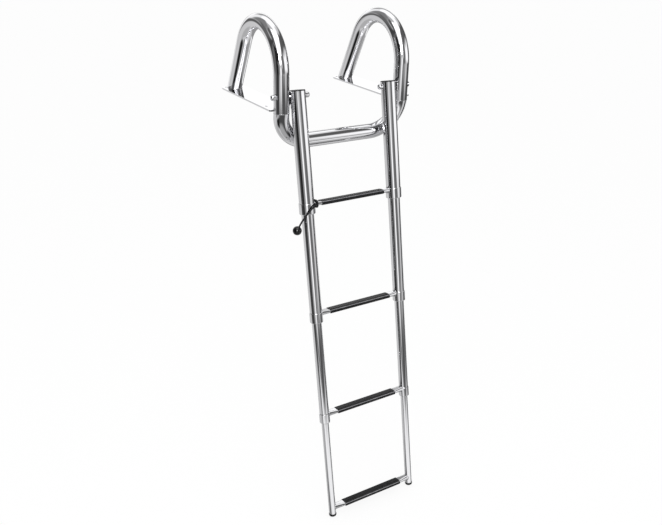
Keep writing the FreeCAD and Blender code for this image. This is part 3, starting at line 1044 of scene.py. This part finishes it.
@dataclass
class Studio:
    """White sweep, lamps and the white, grey and dark boards that the polish reflects.

    The boards' places and levels come from greys measured in the photograph, along the directions that
    the fitted tubes mirror, and were then tuned against the render. So the metal shows these boards and
    not the white background.
    """

    floor_height: float
    centre: Vector
    floor_span: float = 60.0
    world_level: float = 0.9
    open_level: float = 0.7
    veil: float = 0.88
    floor_colour: str = "#F8F8F8"
    boards: tuple[Board, ...] = (
        # straight above, and straight below
        Board((0, 720), (60, 95), 0.58, 6),
        Board((-30, 236), (60, 95), 1.3, 6),
        Board((148, 258), (-95, -46), 0.44),
        Board((284, 346), (-75, -36), 0.52, 6),
        # behind the handles: white, with grey and dark patches lower down
        Board((-20, 66), (42, 66), 1.35),
        Board((-20, 34), (-12, 42), 1.1),
        Board((6, 60), (-52, 38), 0.34, 7),
        Board((36, 58), (-21, 3), 0.08, 4),
        Board((2, 56), (5, 21), 1.25, 3),
        Board((316, 350), (-6, 10), 0.13, 4),
        Board((300, 342), (12, 60), 0.25, 6),
        # to the right and overhead: dark, with a white patch inside
        Board((50, 112), (12, 40), 0.1, 6, 0.62),
        Board((96, 160), (30, 60), 0.12),
        Board((156, 184), (24, 60), 0.18),
        Board((182, 216), (26, 60), 0.28),
        Board((216, 300), (34, 60), 0.12, 6),
        Board((98, 152), (-4, 21), 1.25, 5, 0.12),
        # in front: grey and white
        Board((153, 184), (-9, 30), 0.16),
        Board((183, 217), (2, 30), 0.68),
        Board((180, 199), (-12, 5), 0.2, 4),
        Board((198, 220), (-11, 5), 1.25, 4),
        Board((218, 238), (-11, 8), 0.3, 4),
        # to the left: dark, with a sloping bar beyond
        Board((217, 276), (7, 36), 0.02, 5, -0.2),
        Board((238, 277), (-22, 9), 0.02),
        Board((276, 322), (-12, 28), 0.15),
        Board((264, 320), (11, 21), 0.06, 4, -0.8),
        # below the horizon: dark bands, with lighter patches under them
        Board((57, 100), (-11, 10), 0.09),
        Board((50, 128), (-22, -10), 0.16, 4),
        Board((64, 118), (-16, -7), 0.07, 2),
        Board((118, 152), (-17, -12), 0.12, 2),
        Board((152, 196), (-17, -10), 0.1, 2),
        Board((196, 238), (-17, -13), 0.17, 2),
        Board((240, 290), (-25, -10), 0.06, 4),
        Board((140, 240), (-27, -18), 1.1, 3),
        Board((58, 78), (-40, -16), 1.2, 4),
        Board((74, 114), (-34, -21), 0.03, 3),
        Board((74, 146), (-58, -40), 0.36, 4),
        Board((148, 284), (-48, -30), 0.08),
        Board((242, 274), (-54, -34), 0.015, 4),
        # a bright window about the camera, far over white, which gives the glints
        Board((200, 221), (15, 35), 13.0, 2),
    )

    def world(self) -> None:
        """White to the eye, with boards round the object for what glossy faces reflect."""
        world = bpy.data.worlds.new("studio")
        bpy.context.scene.world = world
        world.use_nodes = True
        tree = world.node_tree
        tree.nodes.clear()
        output = add_node(tree, "ShaderNodeOutputWorld")
        direction = add_node(tree, "ShaderNodeTexCoord").outputs["Generated"]
        split = add_node(tree, "ShaderNodeSeparateXYZ", {0: direction})
        turn = add_node(tree, "ShaderNodeMath", {
            0: split.outputs["X"], 1: split.outputs["Y"]}, operation="ARCTAN2")
        heading = add_node(tree, "ShaderNodeMath", {0: turn.outputs[0]}, operation="DEGREES").outputs[0]
        rise = add_node(tree, "ShaderNodeMath", {0: split.outputs["Z"]}, operation="ARCSINE")
        height = add_node(tree, "ShaderNodeMath", {0: rise.outputs[0]}, operation="DEGREES").outputs[0]
        level = self.open_level
        for board in self.boards:
            share = board.mask(tree, heading, height)
            level = add_node(tree, "ShaderNodeMix", {
                0: share, 2: level, 3: board.level}, data_type="FLOAT").outputs[0]
        path = add_node(tree, "ShaderNodeLightPath")
        plain = add_node(tree, "ShaderNodeBackground", {"Color": grey(1.0), "Strength": self.world_level})
        shown = add_node(tree, "ShaderNodeBackground", {"Color": grey(1.0), "Strength": level})
        white = add_node(tree, "ShaderNodeBackground", {"Color": grey(1.0), "Strength": 1.0})
        glossy = add_node(tree, "ShaderNodeMixShader", {
            0: path.outputs["Is Glossy Ray"], 1: plain.outputs[0], 2: shown.outputs[0]})
        seen = add_node(tree, "ShaderNodeMixShader", {
            0: path.outputs["Is Camera Ray"], 1: glossy.outputs[0], 2: white.outputs[0]})
        tree.links.new(seen.outputs[0], output.inputs["Surface"])

    def floor(self) -> None:
        """A pale floor at the feet, white to the eye but for the object's shadow."""
        half = self.floor_span / 2
        corners = [Vector((x, y, self.floor_height)) for x, y in
                   ((-half, -half), (half, -half), (half, half), (-half, half))]
        material, tree, output = new_material("pale_floor")
        path = add_node(tree, "ShaderNodeLightPath")
        pale = add_node(tree, "ShaderNodeBsdfDiffuse", {"Color": linear(self.floor_colour)})
        white = add_node(tree, "ShaderNodeEmission", {"Color": grey(1.0), "Strength": 1.0})
        clear = add_node(tree, "ShaderNodeBsdfTransparent")
        veil = add_node(tree, "ShaderNodeMath", {
            0: path.outputs["Is Camera Ray"], 1: self.veil}, operation="MULTIPLY")
        shown = add_node(tree, "ShaderNodeMixShader", {
            0: veil.outputs[0], 1: pale.outputs[0], 2: white.outputs[0]})
        surface = add_node(tree, "ShaderNodeMixShader", {
            0: path.outputs["Is Glossy Ray"], 1: shown.outputs[0], 2: clear.outputs[0]})
        tree.links.new(surface.outputs[0], output.inputs["Surface"])
        mesh_piece("pale_floor", corners, [(0, 1, 2, 3)], material)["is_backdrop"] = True

    def lamp(self, name: str, spot: Vector, size: float, watts: float) -> None:
        """A square soft lamp aimed at the object's centre.

        Args:
            name: The lamp's name.
            spot: Its place from the object's centre.
            size: The side of its square.
            watts: Its power.
        """
        light = bpy.data.lights.new(name, "AREA")
        light.shape = "SQUARE"
        light.size = size
        light.energy = watts
        lamp = bpy.data.objects.new(name, light)
        lamp.location = self.centre + spot
        lamp.rotation_euler = (-spot).to_track_quat("-Z", "Y").to_euler()
        bpy.context.collection.objects.link(lamp)

    def build(self) -> None:
        """Sets up the world, the floor and the lamps."""
        self.world()
        self.floor()
        self.lamp("overhead_softbox", Vector((-0.6, -1.1, 2.4)), 2.2, 20.0)
        self.lamp("camera_window", Vector((-1.5, -2.6, 1.3)), 0.35, 5.0)


@dataclass
class PhotoCamera:
    """The camera at the photograph's viewing angle, found by fitting its edges."""

    azimuth: float = math.radians(31.137)
    elevation: float = math.radians(24.844)
    roll: float = math.radians(-1.251)
    place: tuple[float, float, float] = (-0.8027, -1.7345, 0.4197)
    focal_pixels: float = 745.56
    width_pixels: int = 662
    sensor: float = 36.0

    def build(self) -> None:
        """Makes the camera and sets it as the scene's."""
        ahead = Vector((math.sin(self.azimuth) * math.cos(self.elevation),
                        math.cos(self.azimuth) * math.cos(self.elevation), -math.sin(self.elevation)))
        level = Vector((math.cos(self.azimuth), -math.sin(self.azimuth), 0.0))
        below = ahead.cross(level)
        right = level * math.cos(self.roll) + below * math.sin(self.roll)
        down = below * math.cos(self.roll) - level * math.sin(self.roll)
        lens = bpy.data.cameras.new("photo_camera")
        lens.sensor_width = self.sensor
        lens.lens = self.focal_pixels * self.sensor / self.width_pixels
        camera = bpy.data.objects.new("photo_camera", lens)
        turned = Matrix((right, -down, -ahead)).transposed()
        camera.matrix_world = Matrix.Translation(Vector(self.place)) @ turned.to_4x4()
        bpy.context.collection.objects.link(camera)
        bpy.context.scene.camera = camera


def main() -> None:
    """Builds the dressed ladder in its studio."""
    logging.basicConfig(level=logging.INFO, format="%(name)s: %(message)s")
    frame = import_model()
    packed = [list(corner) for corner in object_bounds()]
    bpy.context.scene.view_settings.view_transform = "Standard"
    low, high = (Vector(corner) for corner in packed)
    PhotoCamera().build()
    finishes = Finishes()
    log.info("dressed %d packed nodes", SteelFrame(frame, finishes).dress())
    rails = Rails(frame)
    builders = [kind(rails, finishes) for kind in (BentTubes, Welds, Treads, RetainingCord)]
    pieces = [piece for builder in builders for piece in builder.build()]
    log.info("built %d pieces", len(pieces))
    Studio(floor_height=low.z, centre=(low + high) / 2).build()


if __name__ == "__main__":
    main()
